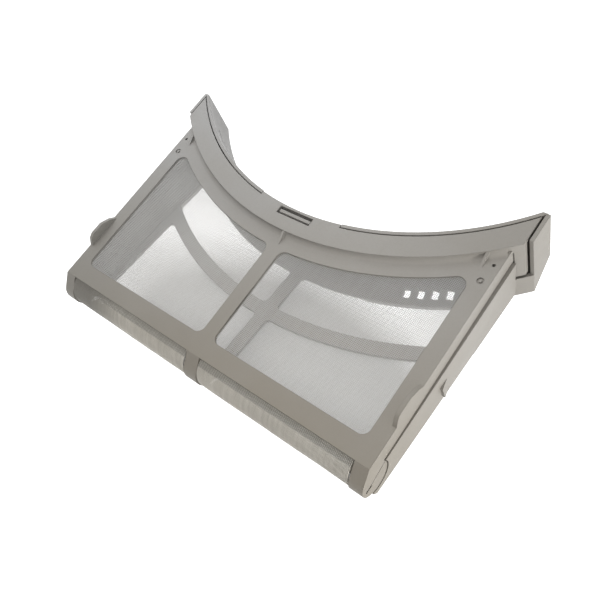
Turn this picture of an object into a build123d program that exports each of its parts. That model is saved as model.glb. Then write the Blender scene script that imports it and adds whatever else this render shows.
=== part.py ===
"""Lint filter case of a tumble dryer: two moulded halves hinged along the bottom edge, with fine mesh.

Sizes are millimetres. The case lies on its back as it comes to rest, +Z up and +Y towards the
curved flange. Inside, three directions are used: x across the case, v from the hinge edge up to
the flange, and n out of the front face. The front face is the plane n = 0.
"""

import os
from math import acos, asin, atan2, ceil, cos, degrees, hypot, radians, sin, sqrt, tan

from build123d import *

os.makedirs("parts", exist_ok=True)

# Outline of the pocket
half_width = 120.0
side_wall = 2.4
face_thickness = 2.4
front_depth = 10.3
parting_gap = 0.4
wall_flare_low = 0.4
wall_flare_top = 2.0

# Arcs of the flange, struck about one centre on the line of symmetry
arc_centre_v = 284.0
flange_sweep = 120.0
top_wall_r = 169.6
top_wall = 2.0
lip_gap = 0.7
plate_width = 12.9
plate_thickness = 2.2
plate_front = 3.8
step_wall = 2.0
cove_radius = 3.0
plate_overhang = 4.5
lip_break_half = 30.4
cover_gap = 0.4

# Windows of the front face
window_side = 10.0
window_bottom = 22.5
window_border = 10.2
window_corner = 5.0
bar_width = 9.4
front_border_v = 11.0

# Back frame
rear_heel_v = 6.5
rear_depth = 28.7
heel_cut = 1.8
rear_slope = 6.2
back_thickness = 2.4
pad_rise = 1.4
pad_setback = 6.5
rear_border_v = 12.0
rear_window_bottom = 23.0
rear_side = 8.0
crescent_side = 2.9
crescent_border = 22.4
crescent_width = 26.7
rib_width = 9.0
rear_bar_width = 9.0
rear_corner = 3.0

# Air slots in the upper border of the back frame
slot_count = 4
slot_width = 4.4
slot_length = 7.4
slot_side = 51.0
slot_pitch = 7.48
slot_lean = 18.0
slot_border = 4.7
slot_depth = 12.0

# Wings at the two ends of the flange
wing_wall = 2.2
wing_gap = 1.1
wing_tip_drop = 4.5
wing_rear = 31.0
wing_chamfer = 45.0
wing_front = 3.4
wing_slit = 2.7
flange_box_depth = 26.3
wing_side_gap = 0.4
groove_depth = 0.8
groove_width = 1.5
groove_length = 14.0
groove_places = ((14.0, 7.0), (20.0, 12.5))

# Hinge along the bottom edge
hinge_v = 10.2
hinge_n = -14.5
knuckle_r = 10.2
knuckle_gap = 0.4
end_knuckle_length = 8.4
middle_knuckle_length = 10.0
pin_r = 2.0
pin_clearance = 0.08
pin_end_gap = 1.2
end_cap = 0.9
end_slot_side = 4.6
end_slot_depth = 0.7
end_slot_length = 4.6
end_slot_width = 1.5
end_slot_deep = 3.0
end_groove = 0.5
snap_mouth = 3.2
lug_r = 4.2
lug_length = 4.2

# Latch in the middle of the flange
latch_half_length = 12.4
latch_drop = 6.8
latch_height = 5.0
tongue_thickness = 2.0
tongue_side_gap = 0.8
tongue_front = 3.0
tongue_length = 19.0
tongue_root = 3.0

# Small features of the front face
tab_bottom_v = 34.0
tab_length = 24.0
tab_rise = 6.0
tab_slope = 9.6
tab_thickness = 2.4
boss_side = 5.4
boss_drop = 18.0
boss_r = 1.9
boss_pin_r = 0.9
boss_depth = 0.8
pin_hole_side = 3.9
pin_hole_drop = 8.4
pin_hole_r = 0.9
gusset_side = 9.4
gusset_thickness = 1.6
gusset_reach = 8.0

# Catch wedges on the outer side walls
wedge_bottom_v = 66.5
wedge_length = 10.5
wedge_rise = 2.4
wedge_top_n = -20.5
wedge_height = 10.5

# Mesh, with its weave drawn coarse
thread = 0.35
mesh_pitch = 9.5
mesh_bar = 1.2
mesh_rim = 1.6
fold_radius = 14.0
fold_thickness = 0.6
fold_floor = 0.5
fold_end_gap = 0.3


def arc_v(radius, x):
    """Height v of an arc of the flange at distance x from the middle."""
    return arc_centre_v - sqrt(radius**2 - x**2)


# Sizes that follow from the ones above
plate_top_r = top_wall_r + top_wall + lip_gap
plate_low_r = plate_top_r + plate_width
cone_rise = tan(radians(wing_chamfer))
heel_depth = wing_rear + (plate_low_r - top_wall_r) * cone_rise
heel_v = arc_v(plate_low_r, half_width - side_wall)
plate_half_length = half_width + plate_overhang
wing_half = plate_half_length + wing_gap + wing_wall
wing_tip_v = arc_v(top_wall_r, wing_half) - wing_tip_drop
window_half = half_width - window_side
window_top_r = plate_low_r + window_border
rear_window_half = half_width - rear_side
crescent_half = half_width - crescent_side
crescent_top_r = top_wall_r + crescent_border
rib_inner_r = crescent_top_r + crescent_width
rib_outer_r = rib_inner_r + rib_width
pad_start_v = arc_centre_v - crescent_top_r + pad_setback
slot_first_x = half_width - slot_side
slot_foot_r = crescent_top_r - slot_border
latch_low_v = arc_centre_v - top_wall_r - latch_drop
boss_x = half_width - boss_side
boss_v = arc_v(plate_low_r, boss_x) - boss_drop
pin_hole_x = half_width - pin_hole_side
pin_hole_v = arc_v(plate_low_r, pin_hole_x) - pin_hole_drop
gusset_x = half_width - gusset_side
slot_v = end_slot_side
slot_n = hinge_n - end_slot_depth
wall_front = front_depth + parting_gap
wall_top = arc_v(plate_low_r - step_wall / 2, half_width)
wall_end = arc_v(plate_low_r, half_width) - parting_gap
slope = radians(rear_slope)
reach = 2 * half_width + arc_centre_v

# The case rests on its two wing heels and on the heel of the back frame
tilt = atan2(heel_depth - rear_depth, heel_v - rear_heel_v)
front_end_y = hinge_v * cos(tilt) - hinge_n * sin(tilt) - knuckle_r
tip_r = hypot(wing_half, arc_centre_v - wing_tip_v)
tip_depth = wing_rear + (tip_r - top_wall_r) * cone_rise
tip_end_y = wing_tip_v * cos(tilt) + tip_depth * sin(tilt)
rest_origin = (0, -(front_end_y + tip_end_y) / 2, heel_depth * cos(tilt) - heel_v * sin(tilt))

face = Plane(origin=rest_origin, x_dir=(1, 0, 0), z_dir=(0, -sin(tilt), cos(tilt)))
side = Plane(origin=face.origin, x_dir=face.y_dir, z_dir=face.x_dir)
back_normal = face.z_dir * cos(slope) + face.y_dir * sin(slope)
back_up = face.y_dir * cos(slope) - face.z_dir * sin(slope)
back_origin = face.from_local_coords((0, rear_heel_v, -rear_depth)) - back_up * rear_heel_v
back = Plane(origin=back_origin, x_dir=(1, 0, 0), z_dir=back_normal)
flange_centre = face.from_local_coords((0, arc_centre_v, 0))
flange_axis = Axis(flange_centre, face.z_dir)


def flange_plane(sweep):
    """Plane of radius and n, at the start of a turn that spans the middle evenly."""
    out = face.x_dir * -sin(radians(sweep / 2)) - face.y_dir * cos(radians(sweep / 2))
    return Plane(origin=flange_centre, x_dir=out, z_dir=out.cross(face.z_dir))


def back_n(v):
    """Depth n of the back frame's outer face at height v."""
    return -rear_depth - (v - rear_heel_v) * tan(slope)


def panel(hand, x_in, x_out, top_r, bottom_v=None, bottom_r=None, corner=window_corner, margin=0.0):
    """Outline of one window: two upright edges, an arc on top, and a line or an arc below."""
    x_low = hand * (x_in + margin)
    x_high = hand * (x_out - margin)
    spots = (x_low, (x_low + x_high) / 2, x_high)
    top_in, top_mid, top_out = ((x, arc_v(top_r + margin, x)) for x in spots)
    low_in, low_mid, low_out = (
        (x, bottom_v + margin if bottom_r is None else arc_v(bottom_r - margin, x)) for x in spots
    )
    with BuildSketch(mode=Mode.PRIVATE) as outline:
        with BuildLine():
            Line(top_in, low_in)
            if bottom_r is None:
                Line(low_in, low_out)
            else:
                ThreePointArc(low_in, low_mid, low_out)
            Line(low_out, top_out)
            ThreePointArc(top_out, top_mid, top_in)
        make_face()
        fillet(outline.vertices(), corner - margin)
    return outline.sketch_local


def ring(inner_r, outer_r, x_low, x_high):
    """Stretch of a flange arc between two distances from the middle."""
    with BuildSketch(mode=Mode.PRIVATE) as band:
        with Locations((0, arc_centre_v)):
            Circle(outer_r)
            Circle(inner_r, mode=Mode.SUBTRACT)
        with Locations(((x_low + x_high) / 2, arc_centre_v - reach / 2)):
            Rectangle(x_high - x_low, reach, mode=Mode.INTERSECT)
    return band.sketch_local


def front_panels(margin=0.0):
    """Window outlines of the front face, by node name."""
    inner = bar_width / 2
    outlines = {}
    for name, hand in (("left", -1), ("right", 1)):
        outlines["front_mesh_" + name] = panel(
            hand, inner, window_half, window_top_r, bottom_v=window_bottom, margin=margin,
        )
    return outlines


def rear_panels(margin=0.0):
    """Window outlines of the back frame, by node name."""
    inner = rear_bar_width / 2
    outlines = {}
    for name, hand in (("left", -1), ("right", 1)):
        outlines["rear_mesh_lower_" + name] = panel(
            hand, inner, rear_window_half, rib_outer_r,
            bottom_v=rear_window_bottom, corner=rear_corner, margin=margin,
        )
        outlines["rear_mesh_upper_" + name] = panel(
            hand, inner, crescent_half, crescent_top_r,
            bottom_r=rib_inner_r, corner=rear_corner, margin=margin,
        )
    return outlines


front_windows = front_panels()
rear_windows = rear_panels()
web_angle = atan2(-hinge_n, front_border_v - hinge_v)
web_angle += acos(knuckle_r / hypot(front_border_v - hinge_v, hinge_n))
web_foot = (hinge_v + knuckle_r * cos(web_angle), hinge_n + knuckle_r * sin(web_angle))
end_knuckle_x = half_width - end_knuckle_length
knuckle_spans = (
    (-half_width, end_knuckle_length),
    (-middle_knuckle_length / 2, middle_knuckle_length),
    (end_knuckle_x, end_knuckle_length),
)
bore_spans = (
    (-half_width + end_cap, end_knuckle_length - end_cap),
    (-middle_knuckle_length / 2, middle_knuckle_length),
    (end_knuckle_x, end_knuckle_length - end_cap),
)

# Front half: flange plate, face with two windows, side strips and knuckles, one moulding
with BuildPart() as front_frame:
    # Flange plate; in the middle it reaches over the top wall and holds the latch window
    cover_half = lip_break_half - cover_gap
    with BuildSketch(face.offset(plate_front - plate_thickness)):
        add(ring(plate_top_r, plate_low_r, -plate_half_length, plate_half_length))
        add(ring(top_wall_r + cover_gap, plate_low_r, -cover_half, cover_half))
        with Locations((0, latch_low_v + latch_height / 2)):
            Rectangle(2 * latch_half_length, latch_height, mode=Mode.SUBTRACT)
    extrude(amount=plate_thickness)
    # Step wall below the plate, deeper beside the pocket, with a cove at its foot
    with BuildSketch(face.offset(-face_thickness)):
        add(ring(plate_low_r - step_wall, plate_low_r, -plate_half_length, plate_half_length))
    extrude(amount=face_thickness + plate_front)
    for hand in (-1, 1):
        wall_ends = sorted((hand * (half_width + wing_side_gap), hand * plate_half_length))
        with BuildSketch(face.offset(-flange_box_depth)):
            add(ring(plate_low_r - step_wall, plate_low_r, *wall_ends))
        extrude(amount=flange_box_depth)
    cove_sweep = 2 * degrees(asin(half_width / (plate_low_r + cove_radius)))
    with BuildSketch(flange_plane(cove_sweep)):
        with BuildLine():
            cove_top = (plate_low_r, cove_radius)
            cove_foot = (plate_low_r + cove_radius, 0)
            Polyline(
                cove_foot,
                (plate_low_r + cove_radius, -face_thickness / 2),
                (plate_low_r - step_wall / 2, -face_thickness / 2),
                (plate_low_r - step_wall / 2, cove_radius),
                cove_top,
            )
            RadiusArc(cove_foot, cove_top, cove_radius)
        make_face()
    revolve(axis=flange_axis, revolution_arc=cove_sweep)
    # Flat face, cut to the flange above and to the mesh windows inside
    with BuildSketch(face):
        with Locations((0, (front_border_v + arc_centre_v) / 2)):
            Rectangle(2 * half_width, arc_centre_v - front_border_v)
        with Locations((0, arc_centre_v)):
            Circle(plate_low_r - step_wall / 2, mode=Mode.SUBTRACT)
        for outline in front_windows.values():
            add(outline, mode=Mode.SUBTRACT)
    extrude(amount=-face_thickness)
    # Side strips behind the face's two edges
    for start in (-half_width, half_width - side_wall):
        with BuildSketch(side.offset(start)):
            Polygon(
                (front_border_v, 0),
                (wall_top, 0),
                (wall_top, -front_depth),
                (hinge_v, -front_depth),
                align=None,
            )
        extrude(amount=side_wall)
    # Knuckles: discs about the hinge line, joined to the face by a web, with a snap mouth
    for start, length in knuckle_spans:
        with BuildSketch(side.offset(start)):
            with Locations((hinge_v, hinge_n)):
                Circle(knuckle_r)
            Polygon(
                (front_border_v, 0),
                (hinge_v + knuckle_r, 0),
                (hinge_v + knuckle_r, hinge_n + knuckle_r / 2),
                (hinge_v, hinge_n),
                web_foot,
                align=None,
            )
        extrude(amount=length)
    for start, length in bore_spans:
        with BuildSketch(side.offset(start)):
            with Locations((hinge_v, hinge_n)):
                Circle(pin_r + pin_clearance)
            with Locations((hinge_v + knuckle_r, hinge_n)):
                Rectangle(2 * knuckle_r, snap_mouth)
        extrude(amount=length, mode=Mode.SUBTRACT)
    # The end knuckles are closed outside, with a slot near the tip and a fine groove up to it
    for start, inwards in ((-half_width, 1), (half_width, -1)):
        with BuildSketch(side.offset(start)):
            Polygon(
                (slot_v, slot_n),
                (slot_v, slot_n + end_groove),
                (hinge_v + 2 * knuckle_r, -front_depth),
                (hinge_v + 2 * knuckle_r, -front_depth - end_groove),
                align=None,
            )
        extrude(amount=inwards * end_groove, mode=Mode.SUBTRACT)
        with BuildSketch(side.offset(start)):
            with Locations((slot_v, slot_n)):
                Rectangle(end_slot_length, end_slot_width)
        extrude(amount=inwards * end_slot_deep, mode=Mode.SUBTRACT)
    # Ears on the side edges, pin holes, ringed bosses and gussets
    for hand in (-1, 1):
        ear_start = half_width - tab_thickness if hand > 0 else -half_width
        with BuildSketch(side.offset(ear_start)):
            Polygon(
                (tab_bottom_v, -face_thickness),
                (tab_bottom_v, 0),
                (tab_bottom_v + tab_rise / 2, tab_rise - tab_rise / 4),
                (tab_bottom_v + tab_rise, tab_rise),
                (tab_bottom_v + tab_length - tab_slope, tab_rise),
                (tab_bottom_v + tab_length - tab_slope / 3, tab_rise / 2),
                (tab_bottom_v + tab_length, 0),
                (tab_bottom_v + tab_length, -face_thickness),
                align=None,
            )
        extrude(amount=tab_thickness)
        with BuildSketch(face):
            with Locations((hand * boss_x, boss_v)):
                Circle(boss_r)
                Circle(boss_pin_r, mode=Mode.SUBTRACT)
        extrude(amount=-boss_depth, mode=Mode.SUBTRACT)
        with BuildSketch(face):
            with Locations((hand * pin_hole_x, pin_hole_v)):
                Circle(pin_hole_r)
        extrude(amount=-face_thickness, mode=Mode.SUBTRACT)
    for gusset_at in (-gusset_x, 0, gusset_x):
        with BuildSketch(side.offset(gusset_at - gusset_thickness / 2)):
            Polygon(
                (arc_v(plate_low_r, gusset_at) + step_wall / 2, plate_front),
                (arc_v(plate_low_r, gusset_at) - gusset_reach, 0),
                (arc_v(plate_low_r, gusset_at) - gusset_reach, -face_thickness / 2),
                (arc_v(plate_low_r, gusset_at) + step_wall / 2, -face_thickness / 2),
                align=None,
            )
        extrude(amount=gusset_thickness)

front_frame.part.label = "front_frame"
export_step(front_frame.part, "parts/front_frame.step")

# Rear half: curved top wall with its wings, back frame, side walls, hinge pins and latch tongue
lug_starts = (
    -end_knuckle_x + knuckle_gap,
    -middle_knuckle_length / 2 - knuckle_gap - lug_length,
    middle_knuckle_length / 2 + knuckle_gap,
    end_knuckle_x - knuckle_gap - lug_length,
)
pin_spans = (
    (-half_width + pin_end_gap, -end_knuckle_x + knuckle_gap),
    (-middle_knuckle_length / 2 - knuckle_gap, -pin_end_gap / 2),
    (pin_end_gap / 2, middle_knuckle_length / 2 + knuckle_gap),
    (end_knuckle_x - knuckle_gap, half_width - pin_end_gap),
)
with BuildPart() as rear_frame:
    cone_wall = top_wall * sqrt(1 + cone_rise**2)
    cone_end_r = plate_low_r
    trim_reach = half_width
    with BuildSketch(flange_plane(flange_sweep)):
        Polygon(
            (top_wall_r, plate_front),
            (top_wall_r, -wing_rear),
            (cone_end_r, -wing_rear - (cone_end_r - top_wall_r) * cone_rise),
            (cone_end_r, cone_wall - wing_rear - (cone_end_r - top_wall_r) * cone_rise),
            (top_wall_r + top_wall, cone_wall - wing_rear - top_wall * cone_rise),
            (top_wall_r + top_wall, plate_front),
            align=None,
        )
    revolve(axis=flange_axis, revolution_arc=flange_sweep)
    with BuildSketch(face.offset(-reach / 2)):
        with Locations((0, wing_tip_v - reach / 2)):
            Rectangle(2 * wing_half, reach)
    extrude(amount=reach, mode=Mode.INTERSECT)
    with BuildSketch(face.offset(plate_front - plate_thickness - cover_gap)):
        with Locations((0, arc_centre_v - reach / 2)):
            Rectangle(2 * lip_break_half, reach)
    extrude(amount=plate_thickness + cover_gap, mode=Mode.SUBTRACT)
    # The cone ends on the back frame's outer face, except in the wings
    with BuildSketch(back.offset(-pad_rise)):
        with Locations((0, arc_centre_v - reach / 2)):
            Rectangle(2 * half_width, reach)
    extrude(amount=-reach / 2, mode=Mode.SUBTRACT)
    # Back frame with its windows, the rib and bar between them, and a thicker upper border
    with BuildSketch(back):
        with Locations((0, (rear_border_v + arc_centre_v) / 2)):
            Rectangle(2 * half_width, arc_centre_v - rear_border_v)
        with Locations((0, arc_centre_v)):
            Circle(top_wall_r + top_wall / 2, mode=Mode.SUBTRACT)
    extrude(amount=back_thickness)
    with BuildSketch(back.offset(-pad_rise)):
        with Locations((0, (pad_start_v + arc_centre_v) / 2)):
            Rectangle(2 * half_width, arc_centre_v - pad_start_v)
        with Locations((0, arc_centre_v)):
            Circle(top_wall_r + top_wall / 2, mode=Mode.SUBTRACT)
    extrude(amount=pad_rise)
    with BuildSketch(back.offset(-pad_rise)):
        for outline in rear_windows.values():
            add(outline)
    extrude(amount=back_thickness + pad_rise, mode=Mode.SUBTRACT)
    with BuildSketch(back.offset(-pad_rise)):
        for hand in (-1, 1):
            for index in range(slot_count):
                foot_x = slot_first_x + index * slot_pitch
                with Locations((hand * foot_x, arc_v(slot_foot_r, foot_x))):
                    Rectangle(slot_width, slot_length, hand * slot_lean, (Align.CENTER, Align.MIN))
    extrude(amount=slot_depth, mode=Mode.SUBTRACT)
    # Side walls, flared a little towards the front, cut clear of the knuckles and the flange box
    for hand in (-1, 1):
        with BuildPart(mode=Mode.PRIVATE) as wall:
            for depth, low, top in ((-wall_front, wall_flare_low, wall_flare_top), (back_n(wall_top), 0, 0)):
                with BuildSketch(face.offset(depth)):
                    Polygon(
                        (hand * (half_width + low), 0),
                        (hand * (half_width + top), wall_top),
                        (hand * (half_width + top - side_wall), wall_top),
                        (hand * (half_width + low - side_wall), 0),
                        align=None,
                    )
            loft(ruled=True)
            with BuildSketch(side.offset(-wing_half)):
                Polygon(
                    (hinge_v, -wall_front),
                    (wall_end, -wall_front),
                    (wall_end, -flange_box_depth - wing_slit),
                    (wall_top, -flange_box_depth - wing_slit),
                    (wall_top, back_n(wall_top)),
                    (rear_heel_v, -rear_depth),
                    (rear_heel_v - heel_cut, -rear_depth + 2 * heel_cut),
                    align=None,
                )
                with Locations((hinge_v, hinge_n)):
                    Circle(knuckle_r + knuckle_gap, mode=Mode.SUBTRACT)
            extrude(amount=2 * wing_half, mode=Mode.INTERSECT)
        add(wall.part)
    # Wings: an end wall and a lower wall behind the flange box
    for hand in (-1, 1):
        wing_start = wing_half - wing_wall if hand > 0 else -wing_half
        wing_low_v = arc_v(plate_low_r, wing_half)
        with BuildSketch(side.offset(wing_start)):
            Polygon(
                (wing_low_v, wing_front),
                (wing_tip_v, wing_front),
                (wing_tip_v, -heel_depth),
                (wing_low_v, -heel_depth),
                align=None,
            )
        extrude(amount=wing_wall)
        floor_ends = sorted((hand * (half_width - side_wall), hand * wing_half))
        with BuildSketch(face.offset(-flange_box_depth - wing_slit)):
            add(ring(plate_low_r - step_wall, plate_low_r, *floor_ends))
        extrude(amount=flange_box_depth + wing_slit - heel_depth)
    # Everything ends on the cone behind the flange
    with BuildSketch(flange_plane(flange_sweep)):
        Polygon(
            (top_wall_r, -wing_rear),
            (top_wall_r + trim_reach, -wing_rear - trim_reach * cone_rise),
            (top_wall_r - top_wall, -wing_rear - trim_reach * cone_rise),
            (top_wall_r - top_wall, -wing_rear),
            align=None,
        )
    revolve(axis=flange_axis, revolution_arc=flange_sweep, mode=Mode.SUBTRACT)
    # Shallow finger grooves in the curved wall of each wing
    for hand in (-1, 1):
        for groove_side, groove_deep in groove_places:
            groove_x = half_width - groove_side
            groove_ends = sorted((hand * groove_x, hand * (groove_x - groove_length)))
            with BuildSketch(face.offset(-groove_deep)):
                add(ring(top_wall_r - top_wall, top_wall_r + groove_depth, *groove_ends))
            extrude(amount=-groove_width, mode=Mode.SUBTRACT)
    # Hinge lugs and their stub pins
    for start in lug_starts:
        with BuildSketch(side.offset(start)):
            with Locations((hinge_v, hinge_n)):
                Circle(lug_r)
            Polygon(
                (hinge_v - lug_r / 2, hinge_n),
                (hinge_v + lug_r, hinge_n),
                (rear_window_bottom, back_n(rear_window_bottom) + back_thickness / 2),
                (rear_border_v, back_n(rear_border_v) + back_thickness / 2),
                align=None,
            )
        extrude(amount=lug_length)
    for low, high in pin_spans:
        with BuildSketch(side.offset(low)):
            with Locations((hinge_v, hinge_n)):
                Circle(pin_r)
        extrude(amount=high - low)
    # Latch tongue, springing from the top wall and ending in the latch window
    tongue_v = latch_low_v + (latch_height - tongue_thickness) / 2
    tongue_half = latch_half_length - tongue_side_gap
    with BuildSketch(face.offset(tongue_front)):
        with Locations((0, tongue_v + tongue_thickness / 2)):
            Rectangle(2 * tongue_half, tongue_thickness)
    extrude(amount=-tongue_length)
    root_top_v = arc_v(top_wall_r + top_wall / 2, 0)
    with BuildSketch(face.offset(tongue_front - tongue_length)):
        with Locations((0, (tongue_v + root_top_v) / 2)):
            Rectangle(2 * tongue_half, root_top_v - tongue_v)
    extrude(amount=tongue_root)
    # Catch wedges on the outside of the side walls
    for hand in (-1, 1):
        with BuildSketch(face.offset(wedge_top_n)):
            Polygon(
                (hand * (half_width - side_wall / 2), wedge_bottom_v),
                (hand * (half_width + wedge_rise), wedge_bottom_v),
                (hand * half_width, wedge_bottom_v + wedge_length),
                (hand * (half_width - side_wall / 2), wedge_bottom_v + wedge_length),
                align=None,
            )
        extrude(amount=-wedge_height)

rear_frame.part.label = "rear_frame"
export_step(rear_frame.part, "parts/rear_frame.step")


def weave(plane, outline, inside):
    """A mesh panel: one sheet cut to bars across in its lower layer and bars up in its upper layer."""
    box = outline.bounding_box()
    middle = (box.center().X, box.center().Y)
    across = 2 * ceil(box.size.X / mesh_pitch / 2)
    up = 2 * ceil(box.size.Y / mesh_pitch / 2)
    with BuildPart() as mesh:
        with BuildSketch(plane):
            add(outline)
        extrude(amount=2 * thread)
        with BuildSketch(plane):
            with Locations(middle):
                with GridLocations(mesh_pitch, mesh_pitch, 1, up):
                    Rectangle(2 * box.size.X, mesh_pitch - mesh_bar)
            add(inside, mode=Mode.INTERSECT)
        extrude(amount=thread, mode=Mode.SUBTRACT)
        with BuildSketch(plane.offset(thread)):
            with Locations(middle):
                with GridLocations(mesh_pitch, mesh_pitch, across, 1):
                    Rectangle(mesh_pitch - mesh_bar, 2 * box.size.Y)
            add(inside, mode=Mode.INTERSECT)
        extrude(amount=thread, mode=Mode.SUBTRACT)
    return mesh.part


front_mesh_plane = face.offset(-face_thickness / 2 - thread)
rear_mesh_plane = back.offset(back_thickness / 2 - thread)
rims = {**front_panels(mesh_rim), **rear_panels(mesh_rim)}
for mesh_plane, windows in ((front_mesh_plane, front_windows), (rear_mesh_plane, rear_windows)):
    for mesh_name, mesh_outline in windows.items():
        mesh_panel = weave(mesh_plane, mesh_outline, rims[mesh_name])
        mesh_panel.label = mesh_name
        export_step(mesh_panel, "parts/" + mesh_name + ".step")

# Mesh strips that wrap round the bottom edge between the knuckles and bend when the case opens
fold_centre = (fold_radius + fold_floor, hinge_n)
fold_inner = fold_radius - fold_thickness
fold_front = degrees(acos((front_border_v - fold_end_gap - fold_centre[0]) / fold_radius))
fold_rear = degrees(acos((rear_border_v - fold_end_gap - fold_centre[0]) / fold_radius))
for fold_name, hand in (("fold_mesh_left", -1), ("fold_mesh_right", 1)):
    fold_ends = sorted((
        hand * (middle_knuckle_length / 2 + knuckle_gap),
        hand * (end_knuckle_x - knuckle_gap),
    ))
    with BuildPart() as fold_mesh:
        with BuildSketch(side.offset(fold_ends[0])):
            with BuildLine():
                outer = CenterArc(fold_centre, fold_radius, fold_front, 360 - fold_rear - fold_front)
                inner = CenterArc(fold_centre, fold_inner, fold_front, 360 - fold_rear - fold_front)
                Line(outer @ 0, inner @ 0)
                Line(outer @ 1, inner @ 1)
            make_face()
        extrude(amount=fold_ends[1] - fold_ends[0])
    fold_mesh.part.label = fold_name
    export_step(fold_mesh.part, "parts/" + fold_name + ".step")
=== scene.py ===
"""Lint filter case of a tumble dryer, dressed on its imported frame: grey mouldings and woven mesh."""

import math

import bpy
from mathutils import Matrix, Vector


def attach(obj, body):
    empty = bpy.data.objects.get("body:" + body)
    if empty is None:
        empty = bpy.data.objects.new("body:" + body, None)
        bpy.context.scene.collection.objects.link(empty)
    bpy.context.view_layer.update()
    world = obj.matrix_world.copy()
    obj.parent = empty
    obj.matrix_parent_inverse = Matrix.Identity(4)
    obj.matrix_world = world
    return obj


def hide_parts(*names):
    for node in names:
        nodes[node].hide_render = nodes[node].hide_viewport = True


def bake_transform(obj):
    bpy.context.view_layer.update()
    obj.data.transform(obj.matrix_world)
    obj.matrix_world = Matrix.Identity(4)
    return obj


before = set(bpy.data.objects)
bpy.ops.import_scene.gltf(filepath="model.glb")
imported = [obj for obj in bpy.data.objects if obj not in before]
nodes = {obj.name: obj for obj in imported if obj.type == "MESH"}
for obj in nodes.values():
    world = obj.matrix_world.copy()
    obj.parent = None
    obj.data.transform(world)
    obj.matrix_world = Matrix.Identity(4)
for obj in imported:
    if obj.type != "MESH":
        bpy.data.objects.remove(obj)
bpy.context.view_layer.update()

# The case's own directions: x across, v from the hinge edge to the flange, n out of the front face
TILT = 0.132377
REST = Vector((0.0, -0.0864227, 0.0275910))
ACROSS = Vector((1, 0, 0))
UP_FACE = Vector((0, math.cos(TILT), math.sin(TILT)))
OUT_FACE = Vector((0, -math.sin(TILT), math.cos(TILT)))

# Sizes of the windows and folds, in metres as the frame has them
ARC_CENTRE = 0.284
FACE_THICKNESS = 0.0024
BACK_THICKNESS = 0.0024
BACK_SLOPE = math.radians(6.2)
BACK_HEEL_V = 0.0065
BACK_DEPTH = 0.0287
FRONT_WINDOW = {"inner": 0.0047, "outer": 0.110, "top_r": 0.1954, "low": 0.0225, "low_r": 0.0}
REAR_LOWER = {"inner": 0.0045, "outer": 0.112, "top_r": 0.2277, "low": 0.023, "low_r": 0.0}
REAR_UPPER = {"inner": 0.0045, "outer": 0.1171, "top_r": 0.1920, "low": 0.0, "low_r": 0.2187}
FOLD_RADIUS = 0.0138
FOLD_CENTRE_V = 0.0145
FOLD_CENTRE_N = -0.0145
FOLD_START = math.radians(104.0)
FOLD_SWEEP = math.radians(154.5)
FOLD_INNER = 0.0056
FOLD_OUTER = 0.1110

# Threads of the mesh: distance, width as a share of it, reach into the rims and uneven spacing
FRONT_PITCH = 0.00095
REAR_PITCH = 0.00045
THREAD_SHARE = 0.186
TUCK = 0.0006
UNEVEN = 0.06
FOLD_PITCH = 0.00065
FOLD_THREAD = 0.00024
FOLD_SLACK = 0.0005
STITCH_PITCH = 0.0016
STITCH_SLANT = 1.6

# Points along the fold's threads, round it and lengthways, and on the arc that spaces them
FOLD_ROUND_POINTS = 28
FOLD_LONG_POINTS = 48
FOLD_ARC_POINTS = 96

# Joining and shading of the mouldings' triangles
JOIN_DISTANCE = 0.000002
SHARP_ANGLE = math.radians(32)

# How the fold's cloth ripples: waves in a metre, how far it swings and how much of that is inwards
RIPPLE_SCALE = 34.0
RIPPLE_SWING = 2.0
RIPPLE_INWARDS = 1.3

# Plastic tones with painted light and shade, shaded at the hinge edge and lit at the flange, each at the left
# and at the right
SHADED_HINGE_TONES = (0.192, 0.182, 0.162, 1), (0.207, 0.184, 0.148, 1)
LIT_FLANGE_TONES = (0.303, 0.300, 0.298, 1), (0.300, 0.291, 0.277, 1)
# Painted shade at the plastic's right end by the flange; the cloud and speck tones below are the plastic's
# own
RIGHT_END_SHADE_TONE = (0.237, 0.223, 0.201, 1)
CLOUD_TONE = (0.238, 0.222, 0.196, 1)
SPECK_TONE = (0.175, 0.163, 0.143, 1)

# Where the tones and their painted light and shade change, from and to, along the case in Y and across it in
# X
HINGE_TO_FLANGE_Y = (-0.080, 0.052)
LEFT_TO_RIGHT_X = (-0.125, 0.045)
RIGHT_END_X = (0.035, 0.105)
RIGHT_END_Y = (0.010, 0.045)
SEAM_Y = (-0.0791, -0.0785)
# Painted shade at the left end of the fold
SHADED_END_X = (-0.094, -0.060)

# Thread tones, pale and dull, how much of the light behind a thread it stops, and the dark tone of the seam
# stitches and of the painted shade at the fold's left end
CLEAR_TONES = (0.93, 0.925, 0.91, 1), (0.84, 0.83, 0.81, 1)
CLEAR_COVER = 0.50
FOLD_TONES = (0.65, 0.62, 0.56, 1), (0.505, 0.48, 0.425, 1)
FOLD_COVER = 1.0
SEAM_AND_SHADE_TONE = (0.21, 0.20, 0.18, 1)

# Floor and surroundings: half width, drop below the case, glow, and how much of it lights the case
FLOOR_HALF = 3.0
FLOOR_DROP = 0.0002
FLOOR_GLOW = 1.5
FLOOR_BOUNCE = 0.3
SKY_LIGHT = 0.40

# The shade on the floor: its middle and half size, its soft rim, and where the case's edges end it
SHADE_MIDDLE = (0.020, -0.045)
SHADE_HALF = (0.130, 0.060)
SHADE_RIM = (0.75, 1.25)
SHADE_RIGHT_X = (0.050, 0.085)
SHADE_FLANGE_Y = (0.060, 0.090)
SHADE_HINGE_Y = (-0.082, -0.070)
SHADE_WALL_X = (0.106, 0.120)

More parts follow.
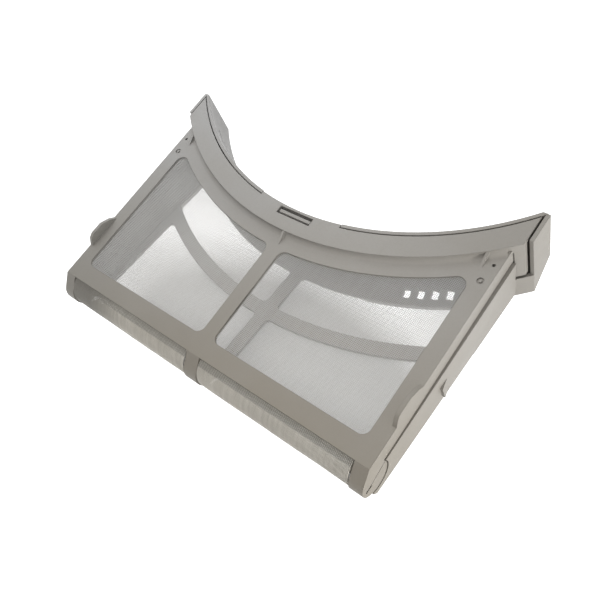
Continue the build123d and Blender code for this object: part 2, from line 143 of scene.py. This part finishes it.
# The photograph's camera: lens, place and directions in x, v and n of the case
SENSOR_WIDTH = 36.0
FOCAL_LENGTH = 39.473
CAMERA_PLACE = (0.219377, -0.019874, 0.295952)
CAMERA_RIGHT = (0.75913309, 0.57637776, -0.30249898)
CAMERA_DOWN = (0.40134632, -0.78031671, -0.47961126)
CAMERA_FORWARD = (-0.51248227, 0.24268193, -0.82369133)


def case_direction(x, v, n):
    """A direction of the case in the shared frame."""
    return ACROSS * x + UP_FACE * v + OUT_FACE * n


def case_point(x, v, n):
    """A point of the case in the shared frame."""
    return REST + case_direction(x, v, n)


def set_input(tree, socket, value):
    """Fills one input, by link where the value is another node's output."""
    if isinstance(value, bpy.types.NodeSocket):
        tree.links.new(value, socket)
    else:
        socket.default_value = value


def node(tree, kind, *links, **settings):
    """One node with its properties set and its inputs filled in order, by value or by link."""
    made = tree.nodes.new(kind)
    for name, value in settings.items():
        setattr(made, name, value)
    for index, value in enumerate(links):
        if value is not None:
            set_input(tree, made.inputs[index], value)
    return made


def fill(tree, made, **values):
    """Fills a node's inputs by name, with underscores for spaces."""
    for name, value in values.items():
        set_input(tree, made.inputs[name.replace("_", " ")], value)
    return made


def calc(tree, operation, a, b=None):
    """The result of one arithmetic step."""
    return node(tree, "ShaderNodeMath", a, b, operation=operation).outputs[0]


def vector(tree, x=0.0, y=0.0, z=0.0):
    """Three numbers joined to a vector."""
    return node(tree, "ShaderNodeCombineXYZ", x, y, z).outputs[0]


def split(tree, place):
    """The three parts of a vector, by the names of the axes."""
    return node(tree, "ShaderNodeSeparateXYZ", place).outputs


def new_tree(name, inputs, takes_geometry=False):
    """A geometry tree with named inputs, and the sockets of its group input by name."""
    tree = bpy.data.node_groups.new(name, "GeometryNodeTree")
    tree.is_modifier = True
    if takes_geometry:
        tree.interface.new_socket("Geometry", in_out="INPUT", socket_type="NodeSocketGeometry")
    for label, kind in inputs.items():
        tree.interface.new_socket(label, in_out="INPUT", socket_type="NodeSocket" + kind)
    tree.interface.new_socket("Geometry", in_out="OUTPUT", socket_type="NodeSocketGeometry")
    entry = tree.nodes.new("NodeGroupInput")
    return tree, {socket.name: socket for socket in entry.outputs if socket.name}


def close_tree(tree, geometry):
    """Ends a tree on its group output."""
    exit_node = tree.nodes.new("NodeGroupOutput")
    tree.links.new(geometry, exit_node.inputs[0])


def set_inputs(modifier, values):
    """Sets a geometry modifier's inputs by their identifiers."""
    for item in modifier.node_group.interface.items_tree:
        if item.in_out == "INPUT" and item.name in values:
            modifier[item.identifier] = values[item.name]


def grown(name, tree, values):
    """A plain mesh piece made by a geometry tree."""
    seed_object = bpy.data.objects.new(name + "_tree", bpy.data.meshes.new(name + "_tree"))
    bpy.context.scene.collection.objects.link(seed_object)
    modifier = seed_object.modifiers.new("threads", "NODES")
    modifier.node_group = tree
    set_inputs(modifier, values)
    bpy.context.view_layer.update()
    evaluated = seed_object.evaluated_get(bpy.context.evaluated_depsgraph_get())
    mesh = bpy.data.meshes.new_from_object(evaluated)
    mesh.name = name
    seed_object.modifiers.remove(modifier)
    bpy.data.objects.remove(seed_object)
    piece = bpy.data.objects.new(name, mesh)
    bpy.context.scene.collection.objects.link(piece)
    return piece


def woven_panel_tree():
    """Threads up and across one window, each cut to the window's outline."""
    tree, size = new_tree("woven_panel", {
        "Hand": "Float", "Inner Edge": "Float", "Outer Edge": "Float", "Arc Centre": "Float",
        "Top Radius": "Float", "Low Line": "Float", "Low Radius": "Float", "Lowest": "Float",
        "Highest": "Float", "Pitch": "Float", "Thread Width": "Float", "Thread Depth": "Float",
        "Tuck": "Float", "Jitter": "Float", "Seed": "Int", "Origin": "Vector", "Tilt": "Float",
        "Material": "Material",
    })

    def half_chord(radius, distance):
        """Half of the chord at a distance from an arc's centre, or nothing outside the arc."""
        squared = calc(tree, "MULTIPLY", distance, distance)
        inside = calc(tree, "SUBTRACT", calc(tree, "MULTIPLY", radius, radius), squared)
        return calc(tree, "SQRT", calc(tree, "MAXIMUM", inside, 0.0))

    def arc_height(radius, x):
        """How high an arc lies at x."""
        return calc(tree, "SUBTRACT", size["Arc Centre"], half_chord(radius, x))

    def arc_reach(radius, v):
        """How far from the middle an arc lies at a height."""
        return half_chord(radius, calc(tree, "SUBTRACT", size["Arc Centre"], v))

    def row(start, end, along):
        """A row of points one pitch apart, and their places along it."""
        count = calc(tree, "FLOOR", calc(tree, "DIVIDE", calc(tree, "SUBTRACT", end, start), size["Pitch"]))
        first = calc(tree, "ADD", start, calc(tree, "MULTIPLY", size["Pitch"], 0.5))
        line = node(tree, "GeometryNodeMeshLine", mode="OFFSET")
        fill(
            tree, line, Count=count,
            Start_Location=vector(tree, **{along: first}), Offset=vector(tree, **{along: size["Pitch"]}),
        )
        place = split(tree, node(tree, "GeometryNodeInputPosition").outputs[0])
        return line.outputs["Mesh"], place[along.upper()]

    def jitter(offset):
        """A small chance shift of each thread."""
        chance = node(tree, "FunctionNodeRandomValue", data_type="FLOAT")
        most = calc(tree, "MULTIPLY", size["Jitter"], size["Pitch"])
        tree.links.new(calc(tree, "MULTIPLY", most, -1.0), chance.inputs[2])
        tree.links.new(most, chance.inputs[3])
        fill(tree, chance, Seed=calc(tree, "ADD", size["Seed"], float(offset)))
        return chance.outputs[1]

    def laid(points, middle, thread, stretch):
        """A straight thread on every point, moved to its middle and stretched to its length."""
        placed = fill(tree, node(tree, "GeometryNodeSetPosition"), Geometry=points, Position=middle)
        bar = node(tree, "GeometryNodeMeshCube", thread)
        laid_on = fill(
            tree, node(tree, "GeometryNodeInstanceOnPoints"),
            Points=placed.outputs[0], Instance=bar.outputs["Mesh"], Scale=stretch,
        )
        return node(tree, "GeometryNodeRealizeInstances", laid_on.outputs[0]).outputs[0]

    half_depth = calc(tree, "MULTIPLY", size["Thread Depth"], 0.5)
    twice_tuck = calc(tree, "MULTIPLY", size["Tuck"], 2.0)
    has_low_arc = calc(tree, "SIGN", size["Low Radius"])

    # Threads that run up the panel
    points, x = row(size["Inner Edge"], size["Outer Edge"], "x")
    low_arc = calc(tree, "MULTIPLY", arc_height(size["Low Radius"], x), has_low_arc)
    low = calc(tree, "MAXIMUM", size["Low Line"], low_arc)
    top = arc_height(size["Top Radius"], x)
    middle = calc(tree, "MULTIPLY", calc(tree, "ADD", low, top), 0.5)
    length = calc(tree, "ADD", calc(tree, "SUBTRACT", top, low), twice_tuck)
    at_x = calc(tree, "MULTIPLY", calc(tree, "ADD", x, jitter(1)), size["Hand"])
    up_threads = laid(
        points, vector(tree, at_x, middle, calc(tree, "MULTIPLY", half_depth, -1.0)),
        vector(tree, size["Thread Width"], 1.0, size["Thread Depth"]), vector(tree, 1.0, length, 1.0),
    )

    # Threads that run across it, over the first ones
    points, v = row(size["Lowest"], size["Highest"], "y")
    inner = calc(tree, "MAXIMUM", size["Inner Edge"], arc_reach(size["Top Radius"], v))
    no_low_arc = calc(tree, "SUBTRACT", 1.0, has_low_arc)
    reach = calc(tree, "ADD", arc_reach(size["Low Radius"], v), no_low_arc)
    outer = calc(tree, "MINIMUM", size["Outer Edge"], reach)
    span = calc(tree, "SUBTRACT", outer, inner)
    short = node(tree, "FunctionNodeCompare", span, size["Pitch"], data_type="FLOAT", operation="LESS_THAN")
    kept = fill(tree, node(tree, "GeometryNodeDeleteGeometry"), Geometry=points, Selection=short.outputs[0])
    halfway = calc(tree, "MULTIPLY", calc(tree, "ADD", inner, outer), 0.5)
    middle = calc(tree, "MULTIPLY", halfway, size["Hand"])
    at_v = calc(tree, "ADD", v, jitter(2))
    across_threads = laid(
        kept.outputs[0], vector(tree, middle, at_v, half_depth),
        vector(tree, 1.0, size["Thread Width"], size["Thread Depth"]),
        vector(tree, calc(tree, "ADD", span, twice_tuck), 1.0, 1.0),
    )

    both = node(tree, "GeometryNodeJoinGeometry")
    tree.links.new(up_threads, both.inputs[0])
    tree.links.new(across_threads, both.inputs[0])
    turned = fill(
        tree, node(tree, "GeometryNodeTransform"), Geometry=both.outputs[0],
        Translation=size["Origin"], Rotation=vector(tree, size["Tilt"]),
    )
    whole = node(tree, "GeometryNodeRealizeInstances", turned.outputs[0])
    finished = fill(
        tree, node(tree, "GeometryNodeSetMaterial"), Geometry=whole.outputs[0], Material=size["Material"],
    )
    close_tree(tree, finished.outputs[0])
    return tree


def fold_strip_tree():
    """Threads round and along the mesh fold at the hinge edge, a little slack between the knuckles."""
    tree, size = new_tree("fold_strip", {
        "Low End": "Float", "High End": "Float", "Radius": "Float", "Start Angle": "Float",
        "Sweep": "Float", "Pitch": "Float", "Thread": "Float", "Slack": "Float", "Seed": "Float",
        "Centre": "Vector", "Origin": "Vector", "Tilt": "Float", "Material": "Material",
    })
    arc_length = calc(tree, "MULTIPLY", size["Radius"], size["Sweep"])
    length = calc(tree, "SUBTRACT", size["High End"], size["Low End"])

    def arc(radius, resolution):
        """The fold's bend as a curve."""
        made = node(tree, "GeometryNodeCurveArc", mode="RADIUS")
        fill(
            tree, made, Resolution=resolution, Radius=radius,
            Start_Angle=size["Start Angle"], Sweep_Angle=size["Sweep"],
        )
        return made.outputs[0]

    # Threads round the fold
    count = calc(tree, "FLOOR", calc(tree, "DIVIDE", length, size["Pitch"]))
    line = node(tree, "GeometryNodeMeshLine", mode="OFFSET")
    first = calc(tree, "ADD", size["Low End"], calc(tree, "MULTIPLY", size["Pitch"], 0.5))
    fill(
        tree, line, Count=count,
        Start_Location=vector(tree, z=first), Offset=vector(tree, z=size["Pitch"]),
    )
    round_threads = fill(
        tree, node(tree, "GeometryNodeInstanceOnPoints"),
        Points=line.outputs["Mesh"], Instance=arc(size["Radius"], FOLD_ROUND_POINTS),
    )

    # Threads along it, inside the first ones
    rows = calc(tree, "FLOOR", calc(tree, "DIVIDE", arc_length, size["Pitch"]))
    inner_r = calc(tree, "SUBTRACT", size["Radius"], size["Thread"])
    dots = node(tree, "GeometryNodeCurveToPoints", mode="COUNT")
    fill(tree, dots, Curve=arc(inner_r, FOLD_ARC_POINTS), Count=rows)
    straight = node(tree, "GeometryNodeCurvePrimitiveLine")
    fill(tree, straight, Start=vector(tree, z=size["Low End"]), End=vector(tree, z=size["High End"]))
    jointed = node(tree, "GeometryNodeResampleCurve", mode="COUNT")
    fill(tree, jointed, Curve=straight.outputs[0], Count=FOLD_LONG_POINTS)
    long_threads = fill(
        tree, node(tree, "GeometryNodeInstanceOnPoints"),
        Points=dots.outputs["Points"], Instance=jointed.outputs[0],
    )

    both = node(tree, "GeometryNodeJoinGeometry")
    tree.links.new(round_threads.outputs[0], both.inputs[0])
    tree.links.new(long_threads.outputs[0], both.inputs[0])
    curves = node(tree, "GeometryNodeRealizeInstances", both.outputs[0])

    # The cloth is slack where it bulges, more inwards than outwards, and held at its two edges
    position = node(tree, "GeometryNodeInputPosition").outputs[0]
    part = split(tree, position)
    bulge = calc(tree, "DIVIDE", calc(tree, "MULTIPLY", part["X"], -1.0), size["Radius"])
    bulge = calc(tree, "MINIMUM", calc(tree, "MAXIMUM", bulge, 0.0), 1.0)
    ripple = node(tree, "ShaderNodeTexNoise", noise_dimensions="4D")
    fill(tree, ripple, Vector=position, W=size["Seed"], Scale=RIPPLE_SCALE, Detail=2.0)
    swing = calc(tree, "SUBTRACT", calc(tree, "MULTIPLY", ripple.outputs[0], RIPPLE_SWING), RIPPLE_INWARDS)
    amount = calc(tree, "MULTIPLY", calc(tree, "MULTIPLY", swing, bulge), size["Slack"])
    from_axis = vector(tree, part["X"], part["Y"])
    outwards = node(tree, "ShaderNodeVectorMath", from_axis, operation="NORMALIZE")
    push = node(tree, "ShaderNodeVectorMath", outwards.outputs[0], operation="SCALE")
    fill(tree, push, Scale=amount)
    slack = fill(
        tree, node(tree, "GeometryNodeSetPosition"), Geometry=curves.outputs[0], Offset=push.outputs[0],
    )
    thread = node(tree, "GeometryNodeCurvePrimitiveQuadrilateral", mode="RECTANGLE")
    fill(tree, thread, Width=size["Thread"], Height=size["Thread"])
    spun = fill(
        tree, node(tree, "GeometryNodeCurveToMesh"), Curve=slack.outputs[0],
        Profile_Curve=thread.outputs[0], Fill_Caps=True,
    )
    centred = fill(
        tree, node(tree, "GeometryNodeTransform"), Geometry=spun.outputs[0], Translation=size["Centre"],
    )
    stood = fill(
        tree, node(tree, "GeometryNodeTransform"), Geometry=centred.outputs[0],
        Rotation=(math.radians(90), 0.0, math.radians(90)),
    )
    turned = fill(
        tree, node(tree, "GeometryNodeTransform"), Geometry=stood.outputs[0],
        Translation=size["Origin"], Rotation=vector(tree, size["Tilt"]),
    )
    whole = node(tree, "GeometryNodeRealizeInstances", turned.outputs[0])
    finished = fill(
        tree, node(tree, "GeometryNodeSetMaterial"), Geometry=whole.outputs[0], Material=size["Material"],
    )
    close_tree(tree, finished.outputs[0])
    return tree


def moulded_edges_tree():
    """Joins a frame's triangles and shades its curved walls smooth up to the sharp edges."""
    tree, size = new_tree("moulded_edges", {"Join Distance": "Float", "Sharp Angle": "Float"}, True)
    joined = fill(
        tree, node(tree, "GeometryNodeMergeByDistance"),
        Geometry=size["Geometry"], Distance=size["Join Distance"],
    )
    smooth = fill(
        tree, node(tree, "GeometryNodeSetShadeSmooth", domain="FACE"),
        Geometry=joined.outputs[0], Shade_Smooth=True,
    )
    angle = node(tree, "GeometryNodeInputMeshEdgeAngle").outputs[0]
    sharp = node(
        tree, "FunctionNodeCompare", angle, size["Sharp Angle"], data_type="FLOAT", operation="GREATER_THAN",
    )
    creased = fill(
        tree, node(tree, "GeometryNodeSetShadeSmooth", domain="EDGE"),
        Geometry=smooth.outputs[0], Selection=sharp.outputs[0], Shade_Smooth=False,
    )
    close_tree(tree, creased.outputs[0])
    return tree


def new_material(name):
    """A node material with its shader and its object coordinates."""
    material = bpy.data.materials.new(name)
    material.use_nodes = True
    tree = material.node_tree
    shader = next(n for n in tree.nodes if n.type == "BSDF_PRINCIPLED")
    place = tree.nodes.new("ShaderNodeTexCoord").outputs["Object"]
    return material, tree, shader, place


def blended(tree, factor, first, second):
    """Two colours mixed."""
    mixer = node(tree, "ShaderNodeMix", data_type="RGBA")
    for index, value in ((0, factor), (6, first), (7, second)):
        set_input(tree, mixer.inputs[index], value)
    return mixer.outputs[2]


def noise(tree, place, scale, detail=3.0):
    """A noise pattern at a scale in turns per metre."""
    made = node(tree, "ShaderNodeTexNoise")
    return fill(tree, made, Vector=place, Scale=scale, Detail=detail).outputs[0]


def spread(tree, value, low, high, from_low=0.0, from_high=1.0):
    """A value moved from one range to another."""
    made = node(tree, "ShaderNodeMapRange")
    fill(tree, made, Value=value, From_Min=from_low, From_Max=from_high, To_Min=low, To_Max=high)
    return made.outputs[0]


def moulded_plastic():
    """Grey polypropylene with a fine eroded grain, and painted light and shade that make it duller towards
    the hinge edge, warmer to the right and darker at the right end by the flange.
    """
    material, tree, shader, place = new_material("moulded_plastic")
    part = split(tree, place)
    # Painted light and shade: darker towards the hinge edge, lighter towards the flange, and shifting from
    # left to right
    towards_flange = spread(tree, part["Y"], 0.0, 1.0, *HINGE_TO_FLANGE_Y)
    towards_right = spread(tree, part["X"], 0.0, 1.0, *LEFT_TO_RIGHT_X)
    shaded_hinge_tone = blended(tree, towards_right, *SHADED_HINGE_TONES)
    lit_flange_tone = blended(tree, towards_right, *LIT_FLANGE_TONES)
    tone = blended(tree, towards_flange, shaded_hinge_tone, lit_flange_tone)
    # Painted shade at the right end near the flange
    near_right = spread(tree, part["X"], 0.0, 0.9, *RIGHT_END_X)
    near_top = spread(tree, part["Y"], 0.0, 1.0, *RIGHT_END_Y)
    tone = blended(tree, calc(tree, "MULTIPLY", near_right, near_top), tone, RIGHT_END_SHADE_TONE)
    cloud = spread(tree, noise(tree, place, 26.0, 4.0), 0.0, 0.35, 0.35, 0.65)
    tone = blended(tree, cloud, tone, CLOUD_TONE)
    speck = spread(tree, noise(tree, place, 900.0, 2.0), 0.0, 0.10, 0.45, 0.75)
    tone = blended(tree, speck, tone, SPECK_TONE)
    tree.links.new(tone, shader.inputs["Base Color"])
    tree.links.new(spread(tree, noise(tree, place, 120.0), 0.46, 0.60), shader.inputs["Roughness"])
    shader.inputs["Specular IOR Level"].default_value = 0.42
    rounded = fill(tree, node(tree, "ShaderNodeBevel", samples=4), Radius=0.0005)
    grain = fill(
        tree, node(tree, "ShaderNodeBump"), Strength=0.16, Distance=0.0002,
        Height=noise(tree, place, 1500.0, 2.0), Normal=rounded.outputs[0],
    )
    tree.links.new(grain.outputs[0], shader.inputs["Normal"])
    return material


def mesh_thread(name, pale, dull, cover, seam_and_shade=None):
    """Pale nylon thread, uneven along the weave, that lets some light through, and may have dark seam
    stitches and a painted shade at its left end.
    """
    material, tree, shader, place = new_material(name)
    streaks = fill(tree, node(tree, "ShaderNodeMapping", place), Scale=(1.0, 0.12, 0.12))
    uneven = spread(tree, noise(tree, streaks.outputs[0], 420.0, 3.0), 0.0, 1.0, 0.3, 0.7)
    patch = spread(tree, noise(tree, place, 30.0, 3.0), 0.0, 0.5, 0.35, 0.75)
    tone = blended(tree, uneven, pale, dull)
    tone = blended(tree, patch, tone, pale)
    if seam_and_shade:
        # Dark slanting stitches along the seam, and painted shade at the left end of the fold
        part = split(tree, place)
        slanting = calc(tree, "ADD", part["X"], calc(tree, "MULTIPLY", part["Y"], STITCH_SLANT))
        stitch = calc(tree, "SINE", calc(tree, "MULTIPLY", slanting, 2 * math.pi / STITCH_PITCH))
        near_seam = spread(tree, part["Y"], 0.0, 1.0, *SEAM_Y)
        seam = calc(tree, "MULTIPLY", near_seam, spread(tree, stitch, 0.15, 0.95, -0.5, 0.5))
        # The darkening at the left end is painted shade
        painted_left_shade = spread(tree, part["X"], 0.85, 0.0, *SHADED_END_X)
        tone = blended(tree, calc(tree, "MAXIMUM", seam, painted_left_shade), tone, seam_and_shade)
    tree.links.new(tone, shader.inputs["Base Color"])
    tree.links.new(spread(tree, noise(tree, place, 300.0), 0.42, 0.58), shader.inputs["Roughness"])
    shader.inputs["Alpha"].default_value = cover
    return material


def window_area(window):
    """Flat area of one panel, in square metres, and the heights of its lowest and highest points."""
    def arc_v(radius, x):
        """How high an arc lies at x."""
        return ARC_CENTRE - math.sqrt(radius ** 2 - x * x)

    steps = 400
    width = window["outer"] - window["inner"]
    lows, tops = [], []
    for step in range(steps + 1):
        x = window["inner"] + width * step / steps
        tops.append(arc_v(window["top_r"], x))
        lows.append(arc_v(window["low_r"], x) if window["low_r"] else window["low"])
    area = sum(top - low for top, low in zip(tops, lows)) * width / (steps + 1)
    return area, min(lows), max(tops)


def add_panel(name, body, window, hand, origin, turn, pitch, seed, material):
    """One mesh panel of real threads in place of the plain one."""
    area, lowest, highest = window_area(window)
    thread = pitch * THREAD_SHARE
    piece = grown(name + "_threads", panel_tree, {
        "Hand": hand, "Inner Edge": window["inner"], "Outer Edge": window["outer"], "Arc Centre": ARC_CENTRE,
        "Top Radius": window["top_r"], "Low Line": window["low"], "Low Radius": window["low_r"],
        "Lowest": lowest, "Highest": highest, "Pitch": pitch, "Thread Width": thread,
        "Thread Depth": thread, "Tuck": TUCK, "Jitter": UNEVEN, "Seed": seed, "Origin": origin,
        "Tilt": turn, "Material": material,
    })
    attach(piece, body)
    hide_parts(name)


def add_fold(name, hand, seed, material):
    """One mesh fold of real threads that bends between the two halves."""
    ends = sorted((hand * FOLD_INNER, hand * FOLD_OUTER))
    piece = grown(name + "_threads", fold_tree, {
        "Low End": ends[0], "High End": ends[1], "Radius": FOLD_RADIUS, "Start Angle": FOLD_START,
        "Sweep": FOLD_SWEEP, "Pitch": FOLD_PITCH, "Thread": FOLD_THREAD, "Slack": FOLD_SLACK,
        "Seed": seed, "Centre": (FOLD_CENTRE_V, FOLD_CENTRE_N, 0.0), "Origin": REST, "Tilt": TILT,
        "Material": material,
    })
    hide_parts(name)
    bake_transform(piece)


def add_area_light(name, place, target, size, power, colour):
    """A soft square lamp aimed at a point."""
    lamp = bpy.data.lights.new(name, "AREA")
    lamp.shape = "SQUARE"
    lamp.size = size
    lamp.energy = power
    lamp.color = colour
    holder = bpy.data.objects.new(name, lamp)
    holder.location = place
    holder.rotation_euler = (Vector(target) - Vector(place)).to_track_quat("-Z", "Y").to_euler()
    bpy.context.scene.collection.objects.link(holder)


def seen_ray(tree):
    """One for rays that show the background: straight to the eye, mirrored or let through."""
    path = tree.nodes.new("ShaderNodeLightPath")
    either = calc(tree, "MAXIMUM", path.outputs["Is Camera Ray"], path.outputs["Is Glossy Ray"])
    return calc(tree, "MAXIMUM", either, path.outputs["Is Transmission Ray"])


def shade_under_case(tree, place):
    """How far the case shades the floor below it: most under the hinge side, nothing outside."""
    part = split(tree, place)
    across, along = (
        calc(tree, "DIVIDE", calc(tree, "SUBTRACT", part[axis], middle), half)
        for axis, middle, half in zip("XY", SHADE_MIDDLE, SHADE_HALF)
    )
    squares = calc(tree, "ADD", calc(tree, "MULTIPLY", across, across), calc(tree, "MULTIPLY", along, along))
    near_middle = spread(tree, calc(tree, "SQRT", squares), 1.0, 0.0, *SHADE_RIM)
    near_right = spread(tree, part["X"], 0.0, 0.36, *SHADE_RIGHT_X)
    below_flange = spread(tree, part["Y"], 1.0, 0.0, *SHADE_FLANGE_Y)
    near = calc(tree, "MAXIMUM", near_middle, calc(tree, "MULTIPLY", near_right, below_flange))
    behind_edge = spread(tree, part["Y"], 0.0, 1.0, *SHADE_HINGE_Y)
    inside_wall = spread(tree, part["X"], 1.0, 0.0, *SHADE_WALL_X)
    return calc(tree, "MULTIPLY", near, calc(tree, "MULTIPLY", behind_edge, inside_wall))


def add_floor():
    """A pale floor that shows white and keeps the shade under the case."""
    mesh = bpy.data.meshes.new("floor")
    signs = ((-1, -1), (1, -1), (1, 1), (-1, 1))
    corners = [(x * FLOOR_HALF, y * FLOOR_HALF, -FLOOR_DROP) for x, y in signs]
    mesh.from_pydata(corners, [], [(0, 1, 2, 3)])
    floor = bpy.data.objects.new("floor", mesh)
    bpy.context.scene.collection.objects.link(floor)
    material, tree, shader, place = new_material("pale_floor")
    shade = shade_under_case(tree, place)
    plain = spread(tree, noise(tree, place, 6.0), 0.80, 0.84)
    grey = calc(tree, "MULTIPLY", plain, spread(tree, shade, 1.0, 0.7))
    paint = node(tree, "ShaderNodeCombineColor", grey, grey, grey)
    tree.links.new(paint.outputs[0], shader.inputs["Base Color"])
    shader.inputs["Roughness"].default_value = 0.9
    glow = fill(tree, node(tree, "ShaderNodeEmission"), Strength=FLOOR_GLOW)
    open_share = spread(tree, shade, 0.94, 0.05)
    glow_share = calc(tree, "MULTIPLY", spread(tree, seen_ray(tree), FLOOR_BOUNCE, 1.0), open_share)
    mixer = node(tree, "ShaderNodeMixShader", glow_share, shader.outputs[0], glow.outputs[0])
    output = next(n for n in tree.nodes if n.type == "OUTPUT_MATERIAL")
    tree.links.new(mixer.outputs[0], output.inputs["Surface"])
    mesh.materials.append(material)


def add_world():
    """Even soft light from all round, white where it is seen."""
    world = bpy.data.worlds.new("studio")
    bpy.context.scene.world = world
    world.use_nodes = True
    tree = world.node_tree
    sky = next(n for n in tree.nodes if n.type == "BACKGROUND")
    sky.inputs["Color"].default_value = (1.0, 1.0, 1.0, 1)
    tree.links.new(spread(tree, seen_ray(tree), SKY_LIGHT, 1.0), sky.inputs["Strength"])


def add_camera():
    """The camera at the photograph's own place, turn and lens."""
    lens = bpy.data.cameras.new("photo_camera")
    lens.sensor_width = SENSOR_WIDTH
    lens.lens = FOCAL_LENGTH
    lens.clip_start = 0.01
    camera = bpy.data.objects.new("photo_camera", lens)
    right, down, forward = (case_direction(*axis) for axis in (CAMERA_RIGHT, CAMERA_DOWN, CAMERA_FORWARD))
    turn = Matrix((right, -down, -forward)).transposed()
    camera.matrix_world = Matrix.Translation(case_point(*CAMERA_PLACE)) @ turn.to_4x4()
    bpy.context.scene.collection.objects.link(camera)
    bpy.context.scene.camera = camera


# The two mouldings keep their solids, with joined and softened edges
plastic = moulded_plastic()
edges_tree = moulded_edges_tree()
for frame_name in ("front_frame", "rear_frame"):
    moulding = nodes[frame_name]
    moulding.data.materials.clear()
    moulding.data.materials.append(plastic)
    joining = moulding.modifiers.new("joined", "NODES")
    joining.node_group = edges_tree
    set_inputs(joining, {"Join Distance": JOIN_DISTANCE, "Sharp Angle": SHARP_ANGLE})

# Mesh panels of threads
panel_tree = woven_panel_tree()
clear_thread = mesh_thread("clear_thread", *CLEAR_TONES, CLEAR_COVER)
fold_thread = mesh_thread("fold_thread", *FOLD_TONES, FOLD_COVER, seam_and_shade=SEAM_AND_SHADE_TONE)
front_origin = case_point(0.0, 0.0, -FACE_THICKNESS / 2)
back_turn = TILT - BACK_SLOPE
back_up = Vector((0, math.cos(back_turn), math.sin(back_turn)))
back_out = Vector((0, -math.sin(back_turn), math.cos(back_turn)))
back_heel = case_point(0.0, BACK_HEEL_V, -BACK_DEPTH)
back_origin = back_heel - back_up * BACK_HEEL_V + back_out * (BACK_THICKNESS / 2)
for side_name, hand in (("left", -1.0), ("right", 1.0)):
    add_panel("front_mesh_" + side_name, "front_half", FRONT_WINDOW, hand,
              front_origin, TILT, FRONT_PITCH, seed=11, material=clear_thread)
    add_panel("rear_mesh_lower_" + side_name, "rear_half", REAR_LOWER, hand,
              back_origin, back_turn, REAR_PITCH, seed=12, material=clear_thread)
    add_panel("rear_mesh_upper_" + side_name, "rear_half", REAR_UPPER, hand,
              back_origin, back_turn, REAR_PITCH, seed=13, material=clear_thread)

# Mesh folds of threads along the hinge edge
fold_tree = fold_strip_tree()
add_fold("fold_mesh_left", -1.0, seed=3.7, material=fold_thread)
add_fold("fold_mesh_right", 1.0, seed=8.2, material=fold_thread)

# Stage, light and camera
add_floor()
add_world()
add_area_light(
    "low_right_light", place=(0.84, -0.06, 0.03), target=(0.12, -0.02, 0.02),
    size=0.10, power=5.6, colour=(1.0, 0.99, 0.965),
)
add_area_light(
    "back_left_light", place=(-0.50, 0.55, 0.70), target=(0.0, 0.0, 0.03),
    size=0.8, power=4.5, colour=(0.94, 0.975, 1.0),
)
add_area_light(
    "front_light", place=(-0.05, -0.25, 1.12), target=(0.0, 0.0, 0.03),
    size=1.0, power=7.8, colour=(1.0, 0.98, 0.95),
)
add_camera()
bpy.context.scene.view_settings.view_transform = "Standard"
